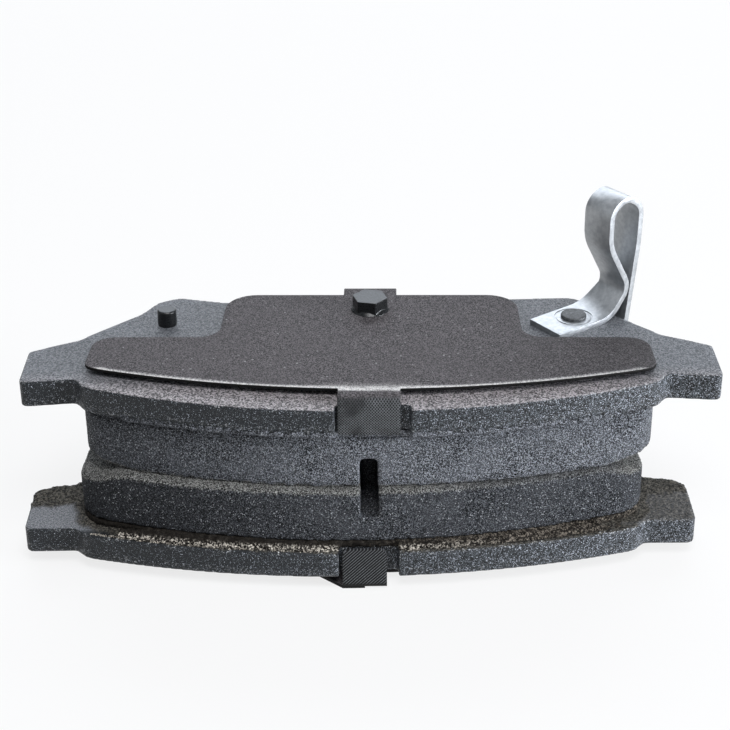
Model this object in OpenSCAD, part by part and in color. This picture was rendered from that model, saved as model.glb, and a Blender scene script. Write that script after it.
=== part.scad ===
// Disc brake pad pair, stacked friction face to friction face.
// The outer pad lies below with its shim as the rest face; the inner pad lies on top of it.
// Millimetres. X runs along the pads, +Y towards the inner-radius edge, +Z up through the stack.
// Origin: rest plane, on the inner pad's centre line, half way across its back plate.

/* [Back plates] */
// Tip to tip length of the inner pad's back plate
inner_plate_len = 130.2; // [110:0.1:150]
// Tip to tip length of the outer pad's back plate
outer_plate_len = 127.7; // [110:0.1:150]
// Thickness of both back plates
plate_t = 5.3; // [4:0.1:7]
// Distance from the origin line to the crown of the curved outer-radius edge
plate_front = 23.3; // [18:0.1:30]
// Distance from the origin line to the straight inner-radius edge
plate_back = 22.4; // [18:0.1:30]
// Radius of the inner plate's curved edge
inner_edge_r = 145; // [100:1:220]
// Radius of the outer plate's curved edge
outer_edge_r = 185; // [100:1:220]
// Depth of the tab notch, measured from the crown
notch_depth = 2.4; // [1:0.1:5]
// Radius of the holes that the underlayer is pressed into
retention_r = 4; // [2:0.1:6]

/* [Friction material] */
// Friction block thickness without the underlayer
block_t = 10.5; // [2:0.1:14]
// Underlayer thickness between plate and friction block
underlayer_t = 1.4; // [0.5:0.1:3]
// How far the friction block stands back from the plate's crown
block_setback = 2.1; // [0:0.1:5]
// Radius of the friction block's curved edge
block_edge_r = 150; // [100:1:220]
// Half length of the friction block
block_half = 54.1; // [40:0.1:60]
// Length of the bevel at each end of the friction face
bevel_len = 9.6; // [0:0.1:20]
// Depth of the inner block's bevel at the block's ends
inner_bevel = 1.8; // [0:0.1:5]
// Depth of the outer block's bevel at the block's ends
outer_bevel = 3.0; // [0:0.1:5]
// Width of the slot across the friction face
slot_w = 3.3; // [2:0.1:6]
// Depth of the slot in the inner block
inner_slot = 5.9; // [2:0.1:9]
// Depth of the slot in the outer block
outer_slot = 5.5; // [2:0.1:9]
// Sideways offset of the inner pad's friction material on its plate
inner_block_dx = -0.4; // [-2:0.1:2]
// Sideways offset of the outer pad's friction material on its plate
outer_block_dx = 0.4; // [-2:0.1:2]
// Height of bonding resin pressed up over the inner plate's lower edge
lip_h = 0.9; // [0:0.05:2]

/* [Shims] */
// Sheet thickness of the coated cover shims
cover_t = 0.7; // [0.4:0.05:1.5]
// Thickness of the damping shim under the inner pad's cover
inner_damping_t = 1.0; // [0.3:0.05:3]
// Thickness of the damping shim under the outer pad's cover
outer_damping_t = 2.0; // [0.3:0.05:3]
// Radius of the cover shims' curved edge
cover_edge_r = 172; // [100:1:220]
// How far the cover shims' curved edge stands back from the plate's crown
cover_setback = 5.4; // [3:0.1:9]
// How the inner cover shim sits turned on its plate, in degrees
cover_turn = -1.2; // [-2:0.1:2]
// Width of the inner pad's front tab
inner_tab_w = 11.3; // [6:0.1:16]
// Width of the outer pad's front tab
outer_tab_w = 8.25; // [6:0.05:16]
// Width of the sheet's flare beside the outer tab's root
flare_w = 6.2; // [0:0.1:10]

/* [Studs] */
// Hex stud size across its flats
hex_flats = 6.1; // [4:0.1:10]
// Hex stud height above the cover shim
hex_h = 2.75; // [1:0.05:5]
// Locating pin radius
pin_r = 1.85; // [1:0.05:4]
// Locating pin height above the plate
pin_h = 3.3; // [1:0.1:6]
// Distance of the pin and the rivet from the centre line
stud_x = 39.7; // [30:0.1:50]
// Rivet head radius
rivet_head_r = 2.5; // [2:0.05:5]
// Rivet head height above the strip
rivet_head_h = 0.7; // [0.3:0.05:2]

/* [Wear indicator] */
// Thickness of the spring strip
strip_t = 1.15; // [0.6:0.05:2]
// Width of the spring strip at its foot
strip_w = 8.6; // [5:0.1:12]
// Width of the spring strip in the loop and the leg
strip_loop_w = 7.0; // [4:0.1:12]
// Direction of the strip on the plate, in degrees from +X
strip_turn = 36; // [0:1:90]
// Height of the loop's top above the plate, to the middle of the sheet
loop_h = 25.1; // [10:0.1:35]
// How far below the plate's back the tip reaches, towards the rotor
tip_drop = 14.6; // [5:0.1:18]

/* [Stack] */
// Sideways offset of the outer pad as it lies under the inner one
outer_dx = -2.3; // [-4:0.1:4]
// Offset of the outer pad towards its curved edge
outer_dy = -1.9; // [-4:0.1:4]
// Small turn of the outer pad, in degrees
outer_turn = 0.4; // [-2:0.1:2]

/* [Hidden] */

pad_t = block_t + underlayer_t;
z_outer_damping = cover_t;
z_outer_plate = z_outer_damping + outer_damping_t;
z_outer_block = z_outer_plate + plate_t;
z_meet = z_outer_block + pad_t;
face_gap = 0.03;
z_inner_face = z_meet + face_gap;
z_inner_plate = z_inner_face + pad_t;
z_back = z_inner_plate + plate_t;
z_cover = z_back + inner_damping_t;
z_cover_top = z_cover + cover_t;

cover_front = plate_front - cover_setback;
block_front = plate_front - block_setback;
slot_x = -0.6;
slot_corner = 1.1;
hex_y = 14.7;
pin_y = 12.3;
rivet_y = 11.5;
shank_r = 1.8;
pin_shank_r = 1.4;
hex_shank_r = 2.5;
notch_corner = 0.8;
inner_notch = [-6.6, 7.1];
outer_notch = [-4.1, 7.0];
over = 1;
arc_steps = 48;
corner_steps = 8;
round_fn = 72;

steel = [0.10, 0.10, 0.11];
zinc = [0.72, 0.74, 0.76];
coat = [0.19, 0.18, 0.18];
foil = [0.07, 0.07, 0.07];
grain = [0.15, 0.15, 0.16];
bond = [0.22, 0.20, 0.18];
gloss = [0.05, 0.05, 0.06];

// ---------- outlines ----------

function flat2(p) = [p[0], p[1]];
function unit(v) = v / norm(v);

// Points of a rounded corner at b, between the neighbours a and c
function corner_arc(a, b, c, r) =
  let (
    u = unit(flat2(a) - flat2(b)),
    v = unit(flat2(c) - flat2(b)),
    half = acos(u * v) / 2,
    reach = r / tan(half),
    centre = flat2(b) + unit(u + v) * r / sin(half),
    first = flat2(b) + u * reach - centre,
    last = flat2(b) + v * reach - centre,
    a0 = atan2(first[1], first[0]),
    a1 = atan2(last[1], last[0]),
    sweep = a1 - a0 > 180 ? a1 - a0 - 360 : a1 - a0 < -180 ? a1 - a0 + 360 : a1 - a0
  )
  [for (i = [0:corner_steps]) let (t = a0 + sweep * i / corner_steps) centre + r * [cos(t), sin(t)]];

// Closed outline through [x, y, r] vertices, each rounded by its own r; r = 0 stays sharp
function rounded(p) =
  [for (i = [0:len(p) - 1])
    let (a = p[(i + len(p) - 1) % len(p)], b = p[i], c = p[(i + 1) % len(p)])
      each (b[2] == 0 ? [flat2(b)] : corner_arc(a, b, c, b[2]))];

// Open path through [x, y, r] vertices, rounded the same way
function rounded_path(p) =
  [for (i = [0:len(p) - 1])
    each (i == 0 || i == len(p) - 1 || p[i][2] == 0
      ? [flat2(p[i])]
      : corner_arc(p[i - 1], p[i], p[i + 1], p[i][2]))];

// Direction across a path at point i
function across(p, i) =
  let (d = unit(p[min(i + 1, len(p) - 1)] - p[max(i - 1, 0)])) [-d[1], d[0]];

// Outline of a sheet of thickness t that follows a path
function band(p, t) = concat(
  [for (i = [0:len(p) - 1]) p[i] + across(p, i) * t / 2],
  [for (i = [len(p) - 1:-1:0]) p[i] - across(p, i) * t / 2]);

// Convex outer-radius edge from x0 to x1, crown at y = -front
function crown(front, r, x0, x1) =
  [for (i = [0:arc_steps])
    let (x = x0 + (x1 - x0) * i / arc_steps) [x, r - front - sqrt(r * r - x * x), 0]];

function mirrored(p) = [for (i = [len(p) - 1:-1:0]) [-p[i][0], p[i][1], p[i][2]]];

// ---------- back plates ----------

inner_half = inner_plate_len / 2;
inner_shoulder = [
  [52.9, -13.0, 1.2], [54.9, -10.1, 1.2], [inner_half, -11.3, 1.4],
  [inner_half, 0.9, 0.8], [60.2, 3.7, 5], [56.0, 5.8, 3], [52.6, 9.6, 8]
];
inner_corner = [[46.0, 16.6, 10], [42.0, plate_back - 1, 2.5], [40.4, plate_back, 3]];
pin_lobe = [
  [-29.0, plate_back - 0.7, 8], [-38.4, plate_back + 1.7, 3.6], [-42.4, plate_back - 0.4, 3.6],
  [-45.4, 16.6, 10]
];

module inner_plate_outline() {
  polygon(rounded(concat(
    crown(plate_front, inner_edge_r, -51, 51),
    inner_shoulder, inner_corner, pin_lobe, mirrored(inner_shoulder))));
}

outer_half = outer_plate_len / 2;
outer_shoulder = [
  [52.2, -15.5, 1.2], [54.2, -13.3, 1.4], [outer_half, -13.4, 1.4],
  [outer_half, -0.1, 1.6], [60.0, 1.8, 4], [55.2, 2.6, 3], [52.0, 9.6, 8],
  [46.0, 16.6, 10], [41.4, plate_back, 4]
];

module outer_plate_outline() {
  polygon(rounded(concat(
    crown(plate_front, outer_edge_r, -51, 51), outer_shoulder, mirrored(outer_shoulder))));
}

// Notch for a front tab, open at the crown, between x0 and x1
module notch(x0, x1) {
  y = notch_depth - plate_front;
  polygon(rounded([
    [x0, -plate_front - over, 0], [x1, -plate_front - over, 0],
    [x1, y, notch_corner], [x0, y, notch_corner]]));
}

retention = [for (s = [-1, 1]) for (p = [[14, -4], [36, -1]]) [s * p[0], p[1]]];

module inner_back_plate() {
  color(steel)
  difference() {
    translate([0, 0, z_inner_plate]) linear_extrude(plate_t) inner_plate_outline();
    translate([0, 0, z_inner_plate - over]) linear_extrude(plate_t + 2 * over)
      notch(inner_notch[0], inner_notch[1]);
    for (p = retention)
      translate([p[0], p[1], z_inner_plate - over])
        cylinder(h = plate_t + 2 * over, r = retention_r, $fn = round_fn);
    for (h = [[0, hex_y, hex_shank_r], [-stud_x, pin_y, pin_shank_r], [stud_x, rivet_y, shank_r]])
      translate([h[0], h[1], z_inner_plate - over])
        cylinder(h = plate_t + 2 * over, r = h[2], $fn = round_fn);
  }
}

// Puts the outer pad's parts where they lie under the inner pad
module outer_place() {
  translate([outer_dx, outer_dy, 0]) rotate([0, 0, outer_turn]) children();
}

module outer_back_plate() {
  color(steel)
  outer_place()
  difference() {
    translate([0, 0, z_outer_plate]) linear_extrude(plate_t) outer_plate_outline();
    translate([0, 0, z_outer_plate - over]) linear_extrude(plate_t + 2 * over)
      notch(outer_notch[0], outer_notch[1]);
    for (p = retention)
      translate([p[0], p[1], z_outer_plate - over])
        cylinder(h = plate_t + 2 * over, r = retention_r, $fn = round_fn);
  }
}

// ---------- friction material ----------

block_end = [
  [block_half, -11.2, 7], [block_half - 1.5, 3.0, 5], [45, 9.6, 8], [36, 15.5, 6]
];

module block_outline() {
  polygon(rounded(concat(
    crown(block_front, block_edge_r, -46.4, 46.4), block_end, mirrored(block_end))));
}

plug_t = plate_t - 0.4;
bead_span = 46;
bead_out = 0.25;
bead_in = 2.6;

// Bead of squeezed-out resin along a plate's curved edge of radius r: the profile is
// [distance outside that edge, height], turned about the edge's own centre
module bead(profile, r) {
  half = asin(bead_span / r);
  translate([0, r - plate_front, 0]) rotate([0, 0, -90 - half])
    rotate_extrude(angle = 2 * half, $fn = 360)
      polygon([for (p = profile) [r + p[0], p[1]]]);
}

// Plugs that reach from the underlayer's top up into the plate's holes
module plugs() {
  for (p = retention)
    translate([p[0], p[1], underlayer_t]) cylinder(h = plug_t, r = retention_r, $fn = round_fn);
}

// Friction block with its friction face at z = 0 and the slot centred on x = at
module block_body(at, slot_depth, bevel_depth) {
  reach = 40;
  difference() {
    linear_extrude(block_t) block_outline();
    // rounded-bottom slot right across the face
    translate([at, reach, 0]) rotate([90, 0, 0]) linear_extrude(2 * reach)
      polygon(rounded([
        [-slot_w / 2, -over, 0], [slot_w / 2, -over, 0],
        [slot_w / 2, slot_depth, slot_corner], [-slot_w / 2, slot_depth, slot_corner]]));
    // end bevels
    for (s = [-1, 1])
      translate([0, reach, 0]) rotate([90, 0, 0]) linear_extrude(2 * reach)
        polygon([
          [s * (block_half - bevel_len), 0], [s * (block_half + over), -over],
          [s * (block_half + over), bevel_depth * (bevel_len + over) / bevel_len]]);
  }
}

module inner_underlayer() {
  // the resin wraps the plate's lower edge and runs back to the block's face
  lip = [
    [-bead_in, 0], [-bead_in, underlayer_t], [0, underlayer_t], [0, underlayer_t + lip_h],
    [bead_out, underlayer_t + lip_h - 0.1], [bead_out, underlayer_t - 0.2],
    [-1.7, 0]
  ];
  color(bond)
  translate([0, 0, z_inner_plate - underlayer_t]) {
    translate([inner_block_dx, 0, 0]) linear_extrude(underlayer_t) block_outline();
    plugs();
    difference() {
      bead(lip, inner_edge_r);
      translate([0, 0, -over]) linear_extrude(6) notch(inner_notch[0], inner_notch[1]);
    }
  }
}

module inner_friction_block() {
  color(grain)
  translate([inner_block_dx, 0, z_inner_face])
    block_body(slot_x - inner_block_dx, inner_slot, inner_bevel);
}

module outer_underlayer() {
  // the resin lies as a bead on the plate's ledge, against the block
  ridge = [
    [-bead_in, underlayer_t], [-bead_in, 0.2], [-1.7, 0.2], [-0.9, 0.7], [-0.5, underlayer_t]
  ];
  color(bond)
  outer_place() translate([0, 0, z_outer_block + underlayer_t]) mirror([0, 0, 1]) {
    translate([outer_block_dx, 0, 0]) linear_extrude(underlayer_t) block_outline();
    plugs();
    difference() {
      bead(ridge, outer_edge_r);
      translate([0, 0, -over]) linear_extrude(6) notch(outer_notch[0], outer_notch[1]);
    }
  }
}

module outer_friction_block() {
  color(grain)
  outer_place() translate([outer_block_dx, 0, z_meet]) mirror([0, 0, 1])
    block_body(slot_x - outer_dx - outer_block_dx, outer_slot, outer_bevel);
}

// ---------- shims ----------

// Right half of a shim outline, set in by d all round
function shim_side(d) = [
  [53.1 - d, -9.2 + d, 2.4], [52.7 - d, 2.6 - d, 4.2], [29.0 - d, 2.7 - d, 4.2],
  [28.7 - d, 21.2 - d, 6]
];

module shim_outline(d) {
  edge = crown(cover_front - d, cover_edge_r, -49.8 + d, 49.8 - d);
  polygon(rounded(concat(edge, shim_side(d), mirrored(shim_side(d)))));
}

back_tab_w = 10.5;
back_tab_x = -0.35;
back_tab_y = 24.85;
back_tab_drop = 3.6;
back_bend = 1.1;

// Short hooked tab at the inner-radius edge; sheet middle at z = 0, hook towards -z
module back_tab() {
  path = rounded_path([[18, 0, 0], [back_tab_y, 0, back_bend], [back_tab_y, -back_tab_drop, 0]]);
  translate([back_tab_x, 0, 0]) rotate([90, 0, 90])
    linear_extrude(back_tab_w, center = true) polygon(band(path, cover_t));
}

// Front tab of width w: flat to y = -start, then a bend of radius r, then down to z = -drop
module front_tab(w, start, out, r, drop) {
  path = rounded_path([[-start, 0, 0], [-out, 0, r], [-out, -drop, 0]]);
  rotate([90, 0, 90]) linear_extrude(w, center = true) polygon(band(path, cover_t));
}

inner_tab_out = plate_front - 0.7 - cover_t / 2;
inner_tab_drop = inner_damping_t + cover_t / 2 + plate_t;

module inner_cover_shim() {
  color(coat)
  translate([0, 1.5, 0]) rotate([0, 0, cover_turn]) translate([0, -1.5, 0])
  difference() {
    union() {
      translate([0, 0, z_cover]) linear_extrude(cover_t) shim_outline(0);
      translate([0, 0, z_cover + cover_t / 2]) {
        back_tab();
        front_tab(inner_tab_w, 16, inner_tab_out, 2.9, inner_tab_drop);
      }
    }
    translate([0, hex_y, z_cover - over]) cylinder(h = 3, r = hex_shank_r + 0.4, $fn = round_fn);
  }
}

damping_setin = 2.6;

module inner_damping_shim() {
  color(foil)
  difference() {
    translate([0, 0, z_back]) linear_extrude(inner_damping_t) shim_outline(damping_setin);
    translate([0, hex_y, z_back - over]) cylinder(h = 3, r = hex_shank_r + 0.4, $fn = round_fn);
  }
}

module outer_damping_shim() {
  color(foil)
  outer_place()
  translate([0, 0, z_outer_damping]) linear_extrude(outer_damping_t) shim_outline(damping_setin);
}

outer_tab_x = 0.65;
outer_tab_out = plate_front - 0.1 - cover_t / 2;
outer_tab_drop = outer_damping_t + plate_t + cover_t / 2 + 0.7;
tab_corner = 1.4;

module outer_cover_shim() {
  color(coat)
  outer_place() {
    linear_extrude(cover_t) shim_outline(0);
    translate([0, 0, cover_t / 2]) mirror([0, 0, 1]) {
      back_tab();
      // front tab with its free end's corners rounded
      translate([outer_tab_x, 0, 0]) intersection() {
        front_tab(outer_tab_w, 16, outer_tab_out, 1.0, outer_tab_drop);
        translate([0, -10, 0]) rotate([90, 0, 0]) linear_extrude(20)
          polygon(rounded([
            [-outer_tab_w, 2, 0], [-outer_tab_w / 2, 2, 0],
            [-outer_tab_w / 2, -outer_tab_drop, tab_corner],
            [outer_tab_w / 2, -outer_tab_drop, tab_corner], [outer_tab_w / 2, 2, 0],
            [outer_tab_w, 2, 0], [outer_tab_w, 4, 0], [-outer_tab_w, 4, 0]]));
      }
    }
    // flare of the sheet on one side of the tab's root
    linear_extrude(cover_t)
      polygon([
        [outer_tab_x - outer_tab_w / 2 - flare_w, -17.4], [outer_tab_x, -17.4],
        [outer_tab_x, -outer_tab_out], [outer_tab_x - outer_tab_w / 2, -outer_tab_out]]);
  }
}

// ---------- studs and rivet ----------

module hex_stud() {
  flare_h = 0.7;
  hex_turn = 17;
  hex_r = hex_flats / (2 * cos(30));
  color(gloss)
  translate([0, hex_y, 0]) {
    translate([0, 0, z_inner_plate]) cylinder(h = plate_t, r = hex_shank_r, $fn = round_fn);
    translate([0, 0, z_back]) cylinder(h = z_cover_top - z_back, r = hex_shank_r, $fn = round_fn);
    translate([0, 0, z_cover_top])
      cylinder(h = flare_h, r1 = hex_r + 0.25, r2 = hex_flats / 2, $fn = round_fn);
    translate([0, 0, z_cover_top]) rotate([0, 0, hex_turn - 90])
      linear_extrude(hex_h) polygon([for (i = [0:5]) hex_r * [cos(60 * i), sin(60 * i)]]);
  }
}

module locating_pin() {
  chamfer = 0.25;
  color(gloss)
  translate([-stud_x, pin_y, z_inner_plate]) {
    cylinder(h = plate_t, r = pin_shank_r, $fn = round_fn);
    translate([0, 0, plate_t]) cylinder(h = pin_h - chamfer, r = pin_r, $fn = round_fn);
    translate([0, 0, plate_t + pin_h - chamfer])
      cylinder(h = chamfer, r1 = pin_r, r2 = pin_r - chamfer, $fn = round_fn);
  }
}

module wear_rivet() {
  dome = 0.2;
  color(steel)
  translate([stud_x, rivet_y, z_inner_plate]) {
    cylinder(h = plate_t + strip_t, r = shank_r, $fn = round_fn);
    translate([0, 0, plate_t + strip_t]) {
      cylinder(h = rivet_head_h - dome, r = rivet_head_r, $fn = round_fn);
      translate([0, 0, rivet_head_h - dome])
        cylinder(h = dome, r1 = rivet_head_r, r2 = rivet_head_r - dome, $fn = round_fn);
    }
  }
}

// ---------- wear indicator ----------

// Middle line of the strip as [distance from the rivet along the strip, height above the plate, bend radius]
strip_mid = strip_t / 2;
strip_path = [
  [-7.4, strip_mid, 0], [5.9, strip_mid, 5.5], [10.4, 6.2, 3.4], [4.8, 16.0, 9],
  [4.8, loop_h - 1.8, 3.2], [8.4, loop_h + 0.3, 3.0], [12.4, loop_h - 2.1, 3.6],
  [12.2, 15.0, 40], [10.2, -1.0, 14], [9.8, -tip_drop, 0]
];
witness_r = 3.4;
witness_w = 0.35;
witness_depth = 0.15;

// The far side is cut back above the foot, so the loop and the leg are narrower
module wear_indicator() {
  far = 30;
  foot_side = strip_w / 2;
  loop_side = strip_loop_w - foot_side;
  step_s = 8.8;
  color(zinc)
  translate([stud_x, rivet_y, z_back]) rotate([0, 0, strip_turn])
  difference() {
    rotate([90, 0, 0]) linear_extrude(strip_w, center = true)
      polygon(band(rounded_path(strip_path), strip_t));
    translate([0, 0, -over]) cylinder(h = strip_t + 2 * over, r = shank_r, $fn = round_fn);
    // ring mark left by the riveting tool
    rotate_extrude($fn = round_fn)
      translate([witness_r, strip_t - witness_depth]) square([witness_w, 1]);
    translate([step_s - far, 0, 0]) rotate([90, 0, 90]) linear_extrude(far)
      polygon([
        [foot_side, strip_t + 0.1], [loop_side, 5.4], [loop_side, far], [far, far],
        [far, strip_t + 0.1]]);
    translate([step_s, loop_side, -far]) cube([far, far, 2 * far]);
  }
}

inner_back_plate();
inner_underlayer();
inner_friction_block();
inner_damping_shim();
inner_cover_shim();
hex_stud();
locating_pin();
wear_indicator();
wear_rivet();
outer_back_plate();
outer_underlayer();
outer_friction_block();
outer_damping_shim();
outer_cover_shim();
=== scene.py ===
"""Looks of the brake pad pair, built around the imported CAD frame. Metres, +Z up."""
import functools
import math
import random

import bmesh
import bpy
from mathutils import Matrix, Vector, kdtree, noise
from mathutils.bvhtree import BVHTree


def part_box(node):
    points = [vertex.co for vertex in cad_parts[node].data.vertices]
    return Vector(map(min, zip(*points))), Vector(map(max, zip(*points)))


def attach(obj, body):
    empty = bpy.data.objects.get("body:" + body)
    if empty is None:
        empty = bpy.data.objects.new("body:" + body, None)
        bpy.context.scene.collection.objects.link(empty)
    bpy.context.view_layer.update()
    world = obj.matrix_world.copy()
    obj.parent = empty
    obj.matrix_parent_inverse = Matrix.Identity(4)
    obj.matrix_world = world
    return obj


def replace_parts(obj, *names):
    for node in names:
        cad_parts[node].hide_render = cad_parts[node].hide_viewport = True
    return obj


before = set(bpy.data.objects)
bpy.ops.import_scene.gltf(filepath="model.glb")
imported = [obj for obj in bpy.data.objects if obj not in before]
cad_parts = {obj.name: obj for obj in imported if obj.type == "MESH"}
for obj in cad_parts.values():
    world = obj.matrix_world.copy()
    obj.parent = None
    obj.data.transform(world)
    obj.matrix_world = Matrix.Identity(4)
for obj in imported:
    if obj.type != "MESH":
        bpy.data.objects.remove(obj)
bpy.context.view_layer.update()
MM = 0.001

# camera
CAMERA_PLACE = (-0.00109, -0.29689, 0.19114)
CAMERA_ELEVATION = math.radians(27.87)
CAMERA_ROLL = math.radians(-0.55)
SENSOR_MM = 36
LENS_MM = 86.9

# meshing, in millimetres and radians
SHARP = math.radians(25)
SMOOTH_ANGLE = math.radians(32)
FLAT_ANGLE = math.radians(0.3)
WELD_MM = 0.002
DEGENERATE_MM = 0.001
EDGE_POINT_MM = 0.3
LONGEST_EDGE_MM = 1.2
SPLIT_PASSES = 5
STUD_VOXEL_MM = 0.11
UNDERLAYER_VOXEL_MM = 0.34
PLATE_VOXEL_MM = 0.36
BLOCK_VOXEL_MM = 0.40
SHEET_EDGE_MM = 0.16
DAMPING_EDGE_MM = 0.08
STRIP_EDGE_MM = 0.14
AWAY_FROM_EDGE_MM = 1.0

# surface relief, in millimetres; TORN_SHARE is the torn part of a plate's wall
TORN_SHARE = 0.36
TEAR_DEPTH = 0.05
RESIDUE_DEPTH = 0.26
GRAIN_DEPTH = 0.04
CHIP_DEPTH = 0.22
LIP_DEPTH = 0.05
BEAD_DEPTH = 0.30
FACE_BAND = (3.6, 4.2)
FRONT_BAND = (-15.0, -12.0)

# how the outer pad lies in the row frame
OUTER_SHIFT = Vector((-2.3, -1.9, 0)) * MM
OUTER_TURN = math.radians(0.4)

# curved edges, in millimetres from the pad's own origin line
PLATE_FRONT = 23.3
OUTER_PLATE_R = 185
COVER_R = 172
COVER_SETBACK = 5.4
COVER_HALF = 50.0
COVER_TURN = math.radians(1.2)
COVER_PIVOT_Y = 1.5

# resin crumbs on the outer plate, in its own millimetres
CRUMB_COUNT = 2200
CRUMB_SPAN = (-51, 50)
TAB_NOTCH = (-5.5, 8.5)
CRUMB_NEAR = (0.35, 1.05, 0.65)
CRUMB_FAR = (1.0, 2.8, 2.2)
CRUMB_RADIUS = (0.07, 0.24, 0.11)

# stage
FLOOR_SIZE = 4
FLOOR_Z = -0.05 * MM
FLOOR_GLOW = 0.79
SKY = (0.86, 0.93, 1.0, 1)
SKY_STRENGTH = 0.16
LIGHT_TARGET = Vector((0, 0, 0.02))


# ---------- camera ----------

def add_camera():
    elevation = CAMERA_ELEVATION
    roll = CAMERA_ROLL
    forward = Vector((0, math.cos(elevation), -math.sin(elevation)))
    side = Vector((1, 0, 0))
    up = side.cross(forward)
    right = side * math.cos(roll) + up * math.sin(roll)
    top = up * math.cos(roll) - side * math.sin(roll)
    data = bpy.data.cameras.new("camera")
    data.sensor_width = SENSOR_MM
    data.lens = LENS_MM
    data.clip_start = 0.01
    camera = bpy.data.objects.new("camera", data)
    turn = Matrix((right, top, -forward)).transposed().to_4x4()
    camera.matrix_world = Matrix.Translation(CAMERA_PLACE) @ turn
    bpy.context.collection.objects.link(camera)
    bpy.context.scene.camera = camera


# ---------- node material helper ----------

class Shader:
    """One material's node tree; every method returns an output socket."""

    def __init__(self, name):
        self.material = bpy.data.materials.new(name)
        self.material.use_nodes = True
        self.tree = self.material.node_tree
        self.out = self.tree.nodes["Principled BSDF"]
        place = self.tree.nodes.new("ShaderNodeTexCoord")
        scaled = self.tree.nodes.new("ShaderNodeVectorMath")
        scaled.operation = "SCALE"
        scaled.inputs["Scale"].default_value = 1 / MM
        self.tree.links.new(place.outputs["Object"], scaled.inputs[0])
        self.place = scaled.outputs[0]
        self.normal = place.outputs["Normal"]

    def feed(self, socket, value):
        if isinstance(value, bpy.types.NodeSocket):
            self.tree.links.new(value, socket)
        else:
            socket.default_value = value

    def set(self, name, value):
        self.feed(self.out.inputs[name], value)

    def noise(self, per_mm, detail=4, rough=0.6, seed=0.0, at=None):
        """Noise from 0 to 1 with about per_mm features a millimetre."""
        n = self.tree.nodes.new("ShaderNodeTexNoise")
        n.noise_dimensions = "4D"
        self.feed(n.inputs["Vector"], at or self.place)
        n.inputs["W"].default_value = seed
        n.inputs["Scale"].default_value = per_mm
        n.inputs["Detail"].default_value = detail
        n.inputs["Roughness"].default_value = rough
        return n.outputs["Fac"]

    def cells(self, per_mm, seed=0.0):
        """A random number from 0 to 1 for each grain-like cell."""
        n = self.tree.nodes.new("ShaderNodeTexVoronoi")
        n.voronoi_dimensions = "4D"
        self.feed(n.inputs["Vector"], self.place)
        n.inputs["W"].default_value = seed
        n.inputs["Scale"].default_value = per_mm
        split = self.tree.nodes.new("ShaderNodeSeparateColor")
        self.tree.links.new(n.outputs["Color"], split.inputs[0])
        return split.outputs[0]

    def ramp(self, value, low, high, to_low=0.0, to_high=1.0):
        n = self.tree.nodes.new("ShaderNodeMapRange")
        n.interpolation_type = "SMOOTHSTEP"
        for socket, number in zip(n.inputs[:5], (value, low, high, to_low, to_high)):
            self.feed(socket, number)
        return n.outputs[0]

    def math(self, operation, a, b=0.0):
        n = self.tree.nodes.new("ShaderNodeMath")
        n.operation = operation
        self.feed(n.inputs[0], a)
        self.feed(n.inputs[1], b)
        return n.outputs[0]

    def mix(self, amount, a, b):
        """Colour a turning into colour b."""
        n = self.tree.nodes.new("ShaderNodeMix")
        n.data_type = "RGBA"
        self.feed(n.inputs["Factor"], amount)
        self.feed(n.inputs[6], a)
        self.feed(n.inputs[7], b)
        return n.outputs[2]

    def axis(self, vector, index):
        n = self.tree.nodes.new("ShaderNodeSeparateXYZ")
        self.feed(n.inputs[0], vector)
        return n.outputs[index]

    def attribute(self, name):
        n = self.tree.nodes.new("ShaderNodeAttribute")
        n.attribute_name = name
        return n.outputs["Fac"]

    def bump(self, height, depth_mm, below=None):
        """Bump of that many millimetres for a height from 0 to 1."""
        n = self.tree.nodes.new("ShaderNodeBump")
        self.feed(n.inputs["Height"], height)
        n.inputs["Strength"].default_value = 1.0
        n.inputs["Distance"].default_value = depth_mm * MM
        if below:
            self.feed(n.inputs["Normal"], below)
        return n.outputs["Normal"]


def grey(value, warm=0.0):
    """A grey, a little towards brown for warm above 0 and towards blue below."""
    return (value * (1 + warm), value, value * (1 - warm), 1)


# ---------- materials ----------

BLACK = (0, 0, 0, 1)
STRIP_TURN = math.radians(36)
STRIP_LINES = (0.12, 4.0, 0.12)


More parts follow.
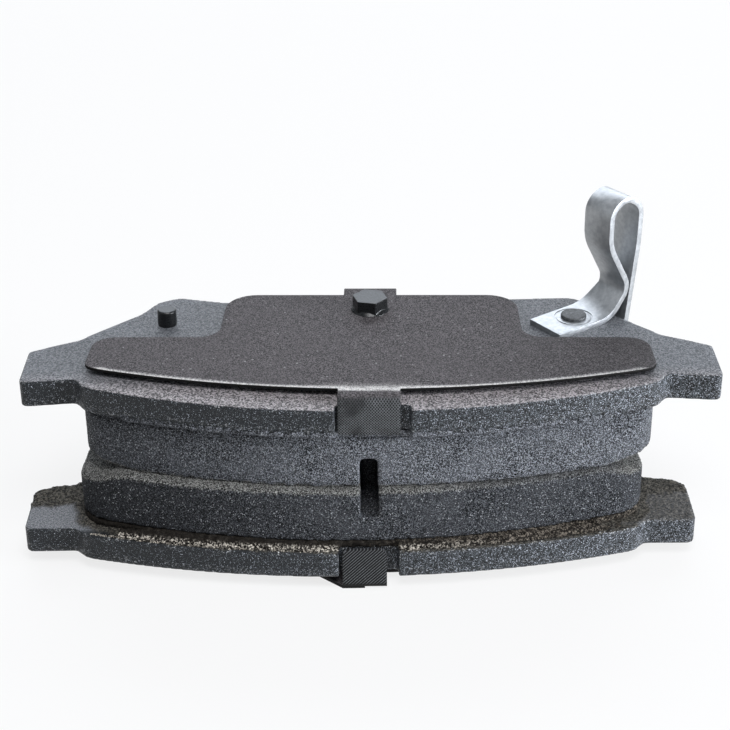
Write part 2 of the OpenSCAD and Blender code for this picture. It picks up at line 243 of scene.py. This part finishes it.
def plate_coat():
    """Black powder coat: orange peel, bare specks along the edges, dust and residue, with painted
    highlight on the dusty upper faces and painted light on the walls towards +X.
    """
    s = Shader("plate_coat")
    peel = s.noise(2.6, detail=3, seed=1.0)
    grain = s.noise(7.0, detail=2, seed=2.0)
    edge = s.ramp(s.attribute("edge_mm"), 0.15, 0.9, 1.0, 0.0)
    rough_wall = s.attribute("torn")
    specks = s.ramp(s.noise(2.6, detail=3, rough=0.7, seed=3.0), 0.56, 0.64)
    patches = s.ramp(s.noise(0.35, detail=2, seed=6.0), 0.42, 0.62)
    torn_specks = s.math("MULTIPLY", rough_wall, 0.30)
    places = s.math("MAXIMUM", s.math("MULTIPLY", edge, patches), torn_specks)
    worn = s.math("MULTIPLY", specks, places)
    residue = s.attribute("residue")
    dust_and_highlight = s.attribute("dust_and_highlight")
    up = s.ramp(s.axis(s.normal, 2), 0.5, 0.9)
    wall = s.math("SUBTRACT", 1.0, up)
    coat = s.mix(s.ramp(grain, 0.3, 0.7), grey(0.003, -0.25), grey(0.014, -0.22))

    # wrinkled skin with a light film of dust on the upper faces, made paler still as painted highlight
    wrinkle = s.noise(3.0, detail=4, rough=0.75, seed=7.0)
    highlit_skin = s.mix(s.ramp(wrinkle, 0.42, 0.60), grey(0.050, -0.14), grey(0.125, -0.14))
    coat = s.mix(s.math("MULTIPLY", up, s.ramp(dust_and_highlight, 0.0, 0.2)), coat, highlit_skin)

    # painted light: walls grow paler towards +X and carry bright flecks, which the same painted light
    # makes denser there
    painted_light_ramp = s.ramp(s.axis(s.place, 0), -50.0, 50.0)
    painted_lit_wall = s.mix(s.ramp(peel, 0.42, 0.6), grey(0.002, -0.1), grey(0.046, -0.14))
    coat = s.mix(s.math("MULTIPLY", painted_light_ramp, wall), coat, painted_lit_wall)
    fleck_noise = s.noise(4.4, detail=3, rough=0.8, seed=8.0)
    flecks = s.ramp(s.math("ADD", fleck_noise, s.math("MULTIPLY", painted_light_ramp, 0.04)), 0.605, 0.64)
    fleck_tone = (0.43, 0.46, 0.52, 1)
    coat = s.mix(s.math("MULTIPLY", flecks, wall), coat, fleck_tone)

    # the upper faces' dust, paler as painted highlight
    dust_highlight_tone = (0.42, 0.39, 0.40, 1)
    dusty_highlight = s.mix(s.ramp(wrinkle, 0.43, 0.58), grey(0.012), dust_highlight_tone)
    coat = s.mix(s.math("MULTIPLY", up, dust_and_highlight), coat, dusty_highlight)
    dark_crust = (0.008, 0.0075, 0.006, 1)
    pale_crust = (0.112, 0.103, 0.086, 1)
    crust = s.mix(s.ramp(s.noise(2.0, rough=0.8, seed=5.0), 0.44, 0.60), dark_crust, pale_crust)
    colour = s.mix(residue, coat, crust)
    bare_steel = grey(0.55, -0.02)
    s.set("Base Color", s.mix(worn, colour, bare_steel))
    dull = s.math("ADD", s.math("MULTIPLY", peel, 0.3), residue)
    s.set("Roughness", s.ramp(dull, 0.0, 1.0, 0.40, 0.90))
    s.out.inputs["Specular IOR Level"].default_value = 0.3
    fine = s.bump(s.math("ADD", peel, s.math("MULTIPLY", grain, 0.4)), 0.17)
    torn_noise = s.noise(2.2, detail=6, rough=0.7, seed=4.0)
    tears = s.math("MULTIPLY", torn_noise, s.math("ADD", rough_wall, residue))
    s.set("Normal", s.bump(tears, 0.22, fine))
    return s.material


def friction_mix(name, pale, sparse):
    """Dark pressed grain with bright fibres, fewer for a higher sparse; coarser where ground.

    pale is the tone of the grain's light parts.
    """
    s = Shader(name)
    blotch = s.noise(0.10, detail=2, seed=1.0)
    grains = s.cells(6.5, seed=2.0)
    fine = s.noise(4.4, detail=3, rough=0.85, seed=3.0)
    edge = s.ramp(s.attribute("edge_mm"), 0.0, 0.3, 0.4, 0.0)
    ground = s.math("MAXIMUM", s.attribute("ground"), edge)
    tone = (pale * 0.90, pale * 0.95, pale * 1.06, 1)
    body = s.mix(s.ramp(fine, 0.49, 0.59), grey(0.001, -0.2), tone)
    body = s.mix(s.ramp(blotch, 0.35, 0.7, 0.0, 0.3), body, s.mix(0.5, tone, BLACK))
    # painted shade: darker towards the -X end, with fewer bright fibres there
    painted_shade_ramp = s.ramp(s.axis(s.place, 0), -62.0, 5.0, 0.40, 1.0)
    body = s.mix(painted_shade_ramp, grey(0.004, -0.2), body)
    lit_grains = s.math("ADD", grains, s.math("MULTIPLY", painted_shade_ramp, 0.03))
    bright = s.ramp(lit_grains, sparse, sparse + 0.01)
    fibre = grey(0.38, -0.04)
    body = s.mix(s.math("MULTIPLY", bright, s.ramp(fine, 0.38, 0.52)), body, fibre)
    cut_hollow = (0.010, 0.0098, 0.0092, 1)
    cut_grain = (0.32, 0.32, 0.305, 1)
    cut = s.mix(s.ramp(fine, 0.48, 0.58), cut_hollow, cut_grain)
    s.set("Base Color", s.mix(ground, body, cut))
    s.set("Roughness", s.ramp(grains, 0.80, 0.95, 0.65, 0.35))
    s.out.inputs["Specular IOR Level"].default_value = 0.1
    s.set("Normal", s.bump(s.math("ADD", fine, s.math("MULTIPLY", grains, 0.35)), 0.16))
    return s.material


def resin_crust():
    """Squeezed-out resin: cream crumbs where the pale attribute is 1, brown ones elsewhere."""
    s = Shader("resin_crust")
    crumbs = s.cells(3.0, seed=1.0)
    fine = s.noise(3.6, detail=5, rough=0.75, seed=2.0)
    dark_brown = (0.030, 0.026, 0.021, 1)
    light_brown = (0.19, 0.165, 0.135, 1)
    cream = (0.66, 0.61, 0.53, 1)
    hollow = (0.016, 0.013, 0.010, 1)
    crack = (0.006, 0.005, 0.004, 1)
    brown = s.mix(s.ramp(s.axis(s.place, 0), -5.0, 30.0), dark_brown, light_brown)
    pale = s.mix(s.attribute("pale"), brown, cream)
    tone = s.mix(s.ramp(crumbs, 0.30, 0.80), hollow, pale)
    s.set("Base Color", s.mix(s.ramp(fine, 0.45, 0.56), tone, crack))
    s.out.inputs["Roughness"].default_value = 0.85
    s.out.inputs["Specular IOR Level"].default_value = 0.15
    s.set("Normal", s.bump(fine, 0.25))
    return s.material


def cover_rubber(name, weave, pitch_mm):
    """Rubber-coated sheet: fine grain, a paler rim of wear and painted highlight, partly painted shade
    off its upper face, and a pressed weave on the front tab.

    weave holds the slope of each family of ribs, pitch_mm their spacing.
    """
    s = Shader(name)
    grain = s.noise(4.4, detail=2, rough=0.7, seed=1.0)
    cloud = s.noise(0.09, detail=3, seed=2.0)
    specks = s.ramp(s.cells(3.0, seed=3.0), 0.994, 0.998)
    top = s.ramp(s.axis(s.normal, 2), 0.5, 0.8)
    grain_low = (0.0100, 0.0092, 0.0097, 1)
    grain_high = (0.140, 0.128, 0.134, 1)
    cloud_tone = (0.066, 0.060, 0.063, 1)
    base = s.mix(s.ramp(grain, 0.40, 0.64), grain_low, grain_high)
    base = s.mix(s.ramp(cloud, 0.35, 0.7, 0.0, 0.3), base, cloud_tone)
    base = s.mix(s.math("MULTIPLY", specks, 0.5), base, grey(0.35))
    # paler rim: wear, and painted highlight along the curved edge, widest where the sheet bends to the
    # tab
    front = s.ramp(s.attribute("rim"), 0.0, 1.0)
    rubbed = s.math("MULTIPLY", front, s.ramp(grain, 0.35, 0.6, 0.3, 1.0))
    base = s.mix(rubbed, base, grey(0.62, 0.02))
    across = s.axis(s.place, 0)
    down = s.axis(s.place, 2)
    # darker towards the +X end; nearly black everywhere but on the upper face, partly as painted shade
    base = s.mix(s.ramp(across, 8.0, 55.0, 0.0, 0.35), base, grey(0.012))
    base = s.mix(top, grey(0.003), base)
    tab = s.attribute("tab")
    lines = None
    for slope in weave:
        phase = s.math("ADD", across, s.math("MULTIPLY", down, slope))
        wave = s.math("SINE", s.math("MULTIPLY", phase, math.tau / pitch_mm))
        lines = wave if lines is None else s.math("MAXIMUM", lines, wave)
    shown = s.ramp(s.noise(0.18, detail=2, seed=4.0), 0.35, 0.60, 0.25, 1.0)
    ribs = s.math("MULTIPLY", s.math("MULTIPLY", s.ramp(lines, 0.45, 0.95), tab), shown)
    base = s.mix(s.math("MULTIPLY", tab, 0.95), base, grey(0.006, -0.05))
    worn_ribs = s.math("MULTIPLY", ribs, s.ramp(grain, 0.2, 0.7, 0.35, 0.95))
    s.set("Base Color", s.mix(worn_ribs, base, grey(0.19, -0.05)))
    s.out.inputs["Roughness"].default_value = 0.68
    s.out.inputs["Specular IOR Level"].default_value = 0.2
    s.set("Normal", s.bump(ribs, 0.12, s.bump(grain, 0.06)))
    return s.material


def damping_sheet():
    """Dull, nearly black sheet; its darkness is partly painted shadow under the cover shim."""
    s = Shader("damping_sheet")
    s.set("Base Color", s.mix(s.noise(2.0, seed=1.0), grey(0.002), grey(0.012)))
    s.out.inputs["Roughness"].default_value = 0.7
    s.out.inputs["Specular IOR Level"].default_value = 0.1
    return s.material


def stud_black():
    """Glossy black coat, paler and a little dull on the flat tops, where scuffs and painted sky
    reflection lighten it.
    """
    s = Shader("stud_black")
    top = s.ramp(s.axis(s.normal, 2), 0.8, 0.97)
    scuff = s.noise(3.0, detail=5, rough=0.7, seed=1.0)
    scuffs_and_sky_sheen = s.mix(s.ramp(scuff, 0.35, 0.7), grey(0.03, -0.1), grey(0.09, -0.08))
    s.set("Base Color", s.mix(top, grey(0.006, -0.1), scuffs_and_sky_sheen))
    dull_top = s.math("MULTIPLY", top, 0.15)
    s.set("Roughness", s.math("ADD", dull_top, s.math("MULTIPLY", scuff, 0.6)))
    s.out.inputs["Coat Weight"].default_value = 0.1
    s.out.inputs["Specular IOR Level"].default_value = 0.35
    s.out.inputs["Coat Roughness"].default_value = 0.35
    s.set("Normal", s.bump(scuff, 0.03))
    return s.material


def zinc():
    """Zinc-plated strip with fine rolling lines along its length, with painted shade darkening its
    upright faces.
    """
    s = Shader("zinc")
    turn = s.tree.nodes.new("ShaderNodeVectorRotate")
    turn.rotation_type = "Z_AXIS"
    turn.inputs["Angle"].default_value = -STRIP_TURN
    s.feed(turn.inputs["Vector"], s.place)
    squash = s.tree.nodes.new("ShaderNodeVectorMath")
    squash.operation = "MULTIPLY"
    squash.inputs[1].default_value = STRIP_LINES
    s.feed(squash.inputs[0], turn.outputs[0])
    lines = s.noise(2.2, detail=3, seed=1.0, at=squash.outputs[0])
    mottle = s.noise(1.1, detail=4, seed=2.0)
    spots = s.ramp(s.noise(1.6, detail=5, rough=0.7, seed=3.0), 0.66, 0.74)
    tone = s.mix(s.ramp(mottle, 0.3, 0.7), grey(0.42, -0.045), grey(0.56, -0.03))
    # painted shade: upright faces a quarter darker
    painted_shade_facing = s.ramp(s.axis(s.normal, 2), 0.3, 0.8)
    tone = s.mix(painted_shade_facing, s.mix(0.25, tone, BLACK), tone)
    s.set("Base Color", s.mix(s.math("MULTIPLY", spots, 0.35), tone, grey(0.30, -0.03)))
    s.out.inputs["Metallic"].default_value = 0.85
    rubbed = s.math("ADD", lines, s.math("MULTIPLY", mottle, 0.5))
    s.set("Roughness", s.ramp(rubbed, 0.4, 1.1, 0.34, 0.50))
    s.set("Normal", s.bump(lines, 0.008, s.bump(mottle, 0.01)))
    return s.material


def rivet_steel():
    """Dark hammered steel."""
    s = Shader("rivet_steel")
    dents = s.noise(2.4, detail=5, rough=0.65, seed=1.0)
    s.set("Base Color", s.mix(s.ramp(dents, 0.35, 0.7), grey(0.03, -0.08), grey(0.10, -0.05)))
    s.out.inputs["Metallic"].default_value = 0.3
    s.out.inputs["Roughness"].default_value = 0.5
    s.set("Normal", s.bump(dents, 0.05))
    return s.material


# ---------- geometry ----------

def welded(node):
    """The CAD node's mesh as a bmesh with its split vertices joined."""
    bm = bmesh.new()
    bm.from_mesh(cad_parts[node].data)
    bmesh.ops.remove_doubles(bm, verts=bm.verts, dist=WELD_MM * MM)
    bmesh.ops.dissolve_degenerate(bm, edges=bm.edges, dist=DEGENERATE_MM * MM)
    bmesh.ops.recalc_face_normals(bm, faces=bm.faces)
    return bm


def is_sharp(edge):
    return len(edge.link_faces) == 2 and edge.calc_face_angle(0) > SHARP


def edge_tree(bm):
    """Nearest-point lookup over points spaced along the sharp edges."""
    spacing = EDGE_POINT_MM * MM
    points = []
    for e in filter(is_sharp, bm.edges):
        a, b = (v.co for v in e.verts)
        count = max(1, round((b - a).length / spacing))
        points += [a.lerp(b, i / count) for i in range(count + 1)]
    tree = kdtree.KDTree(len(points))
    for i, point in enumerate(points):
        tree.insert(point, i)
    tree.balance()
    return tree


def add_object(name, mesh, body, material):
    obj = bpy.data.objects.new(name, mesh)
    bpy.context.collection.objects.link(obj)
    mesh.materials.clear()
    mesh.materials.append(material)
    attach(obj, body)
    return obj


def dense_mesh(bm, voxel_mm):
    """A closed even mesh of that solid, with its edges softened."""
    raw = bpy.data.meshes.new("raw")
    bm.to_mesh(raw)
    holder = bpy.data.objects.new("raw", raw)
    bpy.context.collection.objects.link(holder)
    remesh = holder.modifiers.new("remesh", "REMESH")
    remesh.mode = "VOXEL"
    remesh.voxel_size = voxel_mm * MM
    smooth = holder.modifiers.new("smooth", "SMOOTH")
    smooth.iterations = 1
    graph = bpy.context.evaluated_depsgraph_get()
    mesh = bpy.data.meshes.new_from_object(holder.evaluated_get(graph), depsgraph=graph)
    bpy.data.objects.remove(holder)
    bpy.data.meshes.remove(raw)
    mesh.polygons.foreach_set("use_smooth", [True] * len(mesh.polygons))
    return mesh


def corners(mesh):
    """Each vertex's place and normal, as copies: a normal read after a move costs a full update."""
    return [(v.co.copy(), v.normal.copy()) for v in mesh.vertices]


def move(mesh, points):
    mesh.vertices.foreach_set("co", [number for point in points for number in point])
    mesh.update()


def set_attribute(mesh, name, values):
    mesh.attributes.new(name, "FLOAT", "POINT").data.foreach_set("value", values)


def rough(point, per_mm, seed, octaves=3):
    """Fractal noise from about -1 to 1."""
    return noise.fractal(point * (per_mm / MM) + Vector((seed, 0, 0)), 0.7, 2.0, octaves)


def step(value, low, high):
    t = min(1.0, max(0.0, (value - low) / (high - low)))
    return t * t * (3 - 2 * t)


def rounded_stud(name, node, body, material):
    """A small turned or forged piece, remeshed finely so that all its edges are softly rounded."""
    bm = welded(node)
    mesh = dense_mesh(bm, STUD_VOXEL_MM)
    bm.free()
    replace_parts(add_object(name, mesh, body, material), node)


def bevelled(name, node, body, material, radius_mm, segments=2, marks=None):
    """The CAD node with its sharp edges rounded; marks maps attribute names to functions of a point."""
    bm = welded(node)
    bmesh.ops.dissolve_limit(bm, angle_limit=FLAT_ANGLE, verts=bm.verts, edges=bm.edges)
    bmesh.ops.bevel(
        bm, geom=[e for e in bm.edges if is_sharp(e)], offset=radius_mm * MM, segments=segments,
        profile=0.5, affect="EDGES", clamp_overlap=True)
    if marks:
        bmesh.ops.triangulate(bm, faces=bm.faces)
        for _ in range(SPLIT_PASSES):
            long_edges = [e for e in bm.edges if e.calc_length() > LONGEST_EDGE_MM * MM]
            bmesh.ops.subdivide_edges(bm, edges=long_edges, cuts=1)
            bmesh.ops.triangulate(bm, faces=bm.faces)
    mesh = bpy.data.meshes.new(name)
    bm.to_mesh(mesh)
    bm.free()
    mesh.polygons.foreach_set("use_smooth", [True] * len(mesh.polygons))
    mesh.set_sharp_from_angle(angle=SMOOTH_ANGLE)
    for mark, function in (marks or {}).items():
        set_attribute(mesh, mark, [function(v.co) for v in mesh.vertices])
    piece = add_object(name, mesh, body, material)
    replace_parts(piece, node)


def plate(name, node, body, material, seed, residue, dust_and_highlight):
    """Back plate with softened edges, a torn lower third on its cut walls and any residue raised.

    residue(point) and the dust function of y in millimetres say how much residue and dust lie on its
    upper face; the dust also carries painted highlight.
    """
    bm = welded(node)
    tree = edge_tree(bm)
    mesh = dense_mesh(bm, PLATE_VOXEL_MM)
    bm.free()
    low, high = (corner[2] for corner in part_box(node))
    edge_mm, torn, dirty, moved = [], [], [], []
    for point, normal in corners(mesh):
        share = (point.z - low) / (high - low)
        wall = 1 - step(abs(normal.z), 0.2, 0.6)
        line = TORN_SHARE + 0.10 * rough(point, 0.25, seed)
        tear = wall * (1 - step(share, line - 0.10, line + 0.06))
        mess = residue(point) * step(normal.z, 0.5, 0.9)
        push = TEAR_DEPTH * tear * rough(point, 1.6, seed + 7)
        push += RESIDUE_DEPTH * mess * (0.4 + rough(point, 0.9, seed + 9))
        moved.append(point + normal * push * MM)
        edge_mm.append(tree.find(point)[2] / MM)
        torn.append(tear)
        dirty.append(mess)
    move(mesh, moved)
    set_attribute(mesh, "edge_mm", edge_mm)
    set_attribute(mesh, "torn", torn)
    set_attribute(mesh, "dust_and_highlight", [dust_and_highlight(point.y / MM) for point in moved])
    set_attribute(mesh, "residue", dirty)
    piece = add_object(name, mesh, body, material)
    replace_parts(piece, node)


def block(name, node, body, material, seed, face_z):
    """Friction block: pressed sides, chipped edges, and a coarse ground face and bevels at face_z."""
    bm = welded(node)
    tree = edge_tree(bm)
    mesh = dense_mesh(bm, BLOCK_VOXEL_MM)
    bm.free()
    edge_mm, ground, moved = [], [], []
    for point, normal in corners(mesh):
        distance = tree.find(point)[2] / MM
        near_face = 1 - step(abs(point.z - face_z) / MM, *FACE_BAND)
        flat = step(abs(normal.z), 0.12, 0.30) * near_face
        x = point.x / MM
        smoother = step(x, 5.0, 25.0) * (1 - step(x, 44.0, 49.0))
        chip = (1 - step(distance, 0.1, 0.8)) * step(rough(point, 0.7, seed), 0.1, 0.5)
        push = GRAIN_DEPTH * rough(point, 1.4, seed + 3) - CHIP_DEPTH * chip
        moved.append(point + normal * push * MM)
        edge_mm.append(distance)
        ground.append(flat * (1 - 0.6 * smoother))
    move(mesh, moved)
    set_attribute(mesh, "edge_mm", edge_mm)
    set_attribute(mesh, "ground", ground)
    piece = add_object(name, mesh, body, material)
    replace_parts(piece, node)


def underlayer(name, node, body, material, seed, depth_mm, pale):
    """Underlayer with its squeezed-out resin made lumpy; pale(point) is 1 where it is cream."""
    bm = welded(node)
    mesh = dense_mesh(bm, UNDERLAYER_VOXEL_MM)
    bm.free()
    moved = []
    for point, normal in corners(mesh):
        front = 1 - step(point.y / MM, *FRONT_BAND)
        moved.append(point + normal * depth_mm * MM * front * rough(point, 1.1, seed))
    move(mesh, moved)
    set_attribute(mesh, "edge_mm", [AWAY_FROM_EDGE_MM] * len(moved))
    set_attribute(mesh, "ground", [0.0] * len(moved))
    set_attribute(mesh, "pale", [pale(point) for point in moved])
    piece = add_object(name, mesh, body, material)
    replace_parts(piece, node)


def crumbs(name, spots, body, material, slot, seed, pale):
    """Small broken lumps at (point, radius in millimetres), as one mesh."""
    rng = random.Random(seed)
    bm = bmesh.new()
    for centre, radius in spots:
        start = len(bm.verts)
        bmesh.ops.create_icosphere(bm, subdivisions=1, radius=radius * MM)
        bm.verts.ensure_lookup_table()
        squeeze = Vector((rng.uniform(0.8, 1.5), rng.uniform(0.7, 1.1), rng.uniform(0.5, 0.9)))
        turn = Matrix.Rotation(rng.uniform(0, math.tau), 3, "Z")
        for v in bm.verts[start:]:
            v.co = turn @ (v.co * squeeze) * rng.uniform(0.75, 1.2) + centre
    mesh = bpy.data.meshes.new(name)
    bm.to_mesh(mesh)
    bm.free()
    set_attribute(mesh, "pale", [pale(v.co) for v in mesh.vertices])
    add_object(name, mesh, body, material)


# ---------- the pads ----------

Z_OUTER_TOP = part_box("outer_back_plate")[1][2]
COVER_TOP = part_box("inner_cover_shim")[1][2]


def to_outer(x, y, z):
    """A point of the outer pad in the row frame, from its own x and y in millimetres and z in metres."""
    turned = Matrix.Rotation(OUTER_TURN, 3, "Z") @ Vector((x, y, 0))
    return turned * MM + OUTER_SHIFT + Vector((0, 0, z))


def own(point):
    """A point's x and y in the outer pad's own frame, in millimetres."""
    flat = Vector((point.x, point.y, 0)) - OUTER_SHIFT
    return Matrix.Rotation(-OUTER_TURN, 3, "Z") @ flat / MM


def front_edge(x, radius, setback):
    """y of a curved edge with that radius, that far behind the plate's crown, in millimetres."""
    return radius - (PLATE_FRONT - setback) - math.sqrt(radius ** 2 - x ** 2)


@functools.cache
def outer_block_surface():
    """Nearest-surface lookup on the outer friction block."""
    bm = welded("outer_friction_block")
    tree = BVHTree.FromBMesh(bm)
    bm.free()
    return tree


def outer_residue(point):
    """How much residue lies on the outer plate's top there: by the block's foot and over the ears."""
    p = own(point)
    patch = rough(point, 0.16, 40.0, 4)
    reach = outer_block_surface().find_nearest(point)[3] / MM
    foot = 1 - step(reach + patch, 1.9, 3.1)
    back = step(p.y + 2.0 * patch, -6.0, -4.5)
    ear = step(abs(p.x), 52.0, 54.0)
    ledge = (1 - ear) * step(p.x + 15.0 * patch, -5.0, 20.0)
    right = step(p.x, 30.0, 50.0)
    return min(1.0, max(foot, ear * max(back, 0.75 * right), 0.8 * ledge))


def outer_pale(point):
    """1 on the resin that has crept to the outer plate's curved edge, 0 behind it and towards +X."""
    p = own(point)
    behind = p.y - front_edge(p.x, OUTER_PLATE_R, 0)
    return (1 - step(p.x, -5.0, 35.0)) * (1 - step(behind, 1.0, 1.5))


def nowhere(point):
    return 0.0


def dust_and_highlight_on_ledge(y):
    """Dust with painted highlight on the inner plate's upper face, thickest towards the curved edge."""
    return 0.22 + 0.78 * (1 - step(y, -17.0, -6.0))


def dust_and_reflection_on_ears(y):
    """Dust with painted reflection on the outer plate's upper face, none towards the curved edge."""
    return 0.3 * step(y, -17.5, -15.0)


def front_rim(point):
    """1 along the inner cover shim's curved edge, fading inwards: wear with painted highlight, widest by
    the tab where the sheet bends down.
    """
    turn = Matrix.Rotation(COVER_TURN, 3, "Z")
    flat = Vector((point.x / MM, point.y / MM - COVER_PIVOT_Y, 0))
    p = turn @ flat + Vector((0, COVER_PIVOT_Y, 0))
    x = max(-COVER_HALF, min(COVER_HALF, p.x))
    inside = p.y - front_edge(x, COVER_R, COVER_SETBACK)
    near_tab = 1 - step(abs(p.x), 4.0, 15.0)
    kept = step(inside, -1.2, -0.4)
    rim = 1 - step(inside, 0.0, 1.0)
    wide_rim = 1 - step(inside, 0.0, 3.0)
    return kept * max(rim, 0.5 * near_tab * wide_rim)


def inner_tab(point):
    """1 on the hanging part of the inner front tab."""
    return step((COVER_TOP - point.z) / MM, 0.1, 0.6) * step(-point.y / MM, 18.5, 19.5)


def outer_tab(point):
    """1 on the hanging part of the outer front tab."""
    return step(-own(point).y, 22.0, 22.6) * step(point.z / MM, 0.9, 1.5)


def crumb_spots():
    """Places and radii of the crumbs along the outer plate's ledge."""
    rng = random.Random(11)
    spots = []
    for _ in range(CRUMB_COUNT):
        x = rng.uniform(*CRUMB_SPAN)
        if TAB_NOTCH[0] < x < TAB_NOTCH[1]:
            continue
        near = x < rng.uniform(0, 30)
        behind = rng.triangular(*(CRUMB_NEAR if near else CRUMB_FAR))
        y = front_edge(x, OUTER_PLATE_R, behind)
        radius = rng.triangular(*CRUMB_RADIUS)
        spots.append((to_outer(x, y, Z_OUTER_TOP + radius * 0.5 * MM), radius))
    return spots


def build_inner_pad(coat, sheet):
    mix = friction_mix("friction_mix", 0.33, 0.980)
    black = stud_black()
    woven = cover_rubber("cover_woven", (1.0, -1.0), 0.54)
    marks = {"rim": front_rim, "tab": inner_tab}
    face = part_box("inner_friction_block")[0][2]
    body = "inner_pad"
    plate("inner_plate_coated", "inner_back_plate", body, coat, 3.0, nowhere, dust_and_highlight_on_ledge)
    block("inner_block_grain", "inner_friction_block", body, mix, 5.0, face)
    underlayer("inner_resin_lip", "inner_underlayer", body, mix, 31.0, LIP_DEPTH, nowhere)
    bevelled(
        "inner_cover_sheet", "inner_cover_shim", body, woven, SHEET_EDGE_MM, marks=marks)
    bevelled("inner_damping_sheet", "inner_damping_shim", body, sheet, DAMPING_EDGE_MM)
    rounded_stud("hex_stud_black", "hex_stud", body, black)
    rounded_stud("locating_pin_black", "locating_pin", body, black)
    bevelled("wear_strip_zinc", "wear_indicator", body, zinc(), STRIP_EDGE_MM, segments=3)
    rounded_stud("wear_rivet_head", "wear_rivet", body, rivet_steel())


def build_outer_pad(coat, sheet):
    dark_mix = friction_mix("friction_mix_dark", 0.14, 0.990)
    crust = resin_crust()
    slanted = cover_rubber("cover_slanted", (-1.0,), 0.65)
    marks = {"rim": nowhere, "tab": outer_tab}
    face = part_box("inner_friction_block")[0][2]
    body = "outer_pad"
    plate("outer_plate_coated", "outer_back_plate", body, coat, 17.0, outer_residue, dust_and_reflection_on_ears)
    block("outer_block_grain", "outer_friction_block", body, dark_mix, 23.0, face)
    underlayer("outer_resin_bead", "outer_underlayer", body, crust, 37.0, BEAD_DEPTH, outer_pale)
    bevelled(
        "outer_cover_sheet", "outer_cover_shim", body, slanted, SHEET_EDGE_MM, marks=marks)
    bevelled("outer_damping_sheet", "outer_damping_shim", body, sheet, DAMPING_EDGE_MM)
    crumbs("outer_resin_crumbs", crumb_spots(), body, crust, "bonding_resin", 12, outer_pale)


# ---------- stage ----------

def add_area(name, place, size, power, colour):
    data = bpy.data.lights.new(name, "AREA")
    data.shape = "RECTANGLE"
    data.size, data.size_y = size
    data.energy = power
    data.color = colour
    light = bpy.data.objects.new(name, data)
    light.location = place
    aim = LIGHT_TARGET - Vector(place)
    light.rotation_euler = aim.to_track_quat("-Z", "Y").to_euler()
    bpy.context.collection.objects.link(light)


def add_floor():
    bm = bmesh.new()
    bmesh.ops.create_grid(bm, x_segments=1, y_segments=1, size=FLOOR_SIZE)
    mesh = bpy.data.meshes.new("floor")
    bm.to_mesh(mesh)
    bm.free()
    floor = bpy.data.objects.new("floor", mesh)
    floor.location.z = FLOOR_Z
    bpy.context.collection.objects.link(floor)
    s = Shader("floor_white")
    s.out.inputs["Base Color"].default_value = (0.12, 0.12, 0.12, 1)
    s.out.inputs["Roughness"].default_value = 0.9
    s.out.inputs["Emission Color"].default_value = (1, 1, 1, 1)
    s.out.inputs["Emission Strength"].default_value = FLOOR_GLOW
    mesh.materials.append(s.material)


def add_lights():
    world = bpy.data.worlds.new("studio")
    world.use_nodes = True
    sky = world.node_tree.nodes["Background"]
    sky.inputs["Color"].default_value = SKY
    sky.inputs["Strength"].default_value = SKY_STRENGTH
    bpy.context.scene.world = world
    add_area("softbox_back", (0.05, 0.95, 0.62), (1.6, 0.8), 11, (0.88, 0.93, 1.0))
    add_area("softbox_top", (0.05, -0.30, 0.60), (0.30, 0.30), 3.4, (0.98, 0.98, 1.0))
    add_area("fill_right", (0.85, -0.28, 0.17), (0.3, 0.3), 13, (0.90, 0.94, 1.0))
    add_area("reflector_left", (-0.75, -0.25, 0.45), (1.0, 0.6), 1.2, (0.93, 0.96, 1.0))
    bpy.context.scene.view_settings.view_transform = "Standard"


add_camera()
plate_paint = plate_coat()
dull_sheet = damping_sheet()
build_inner_pad(plate_paint, dull_sheet)
build_outer_pad(plate_paint, dull_sheet)
add_floor()
add_lights()
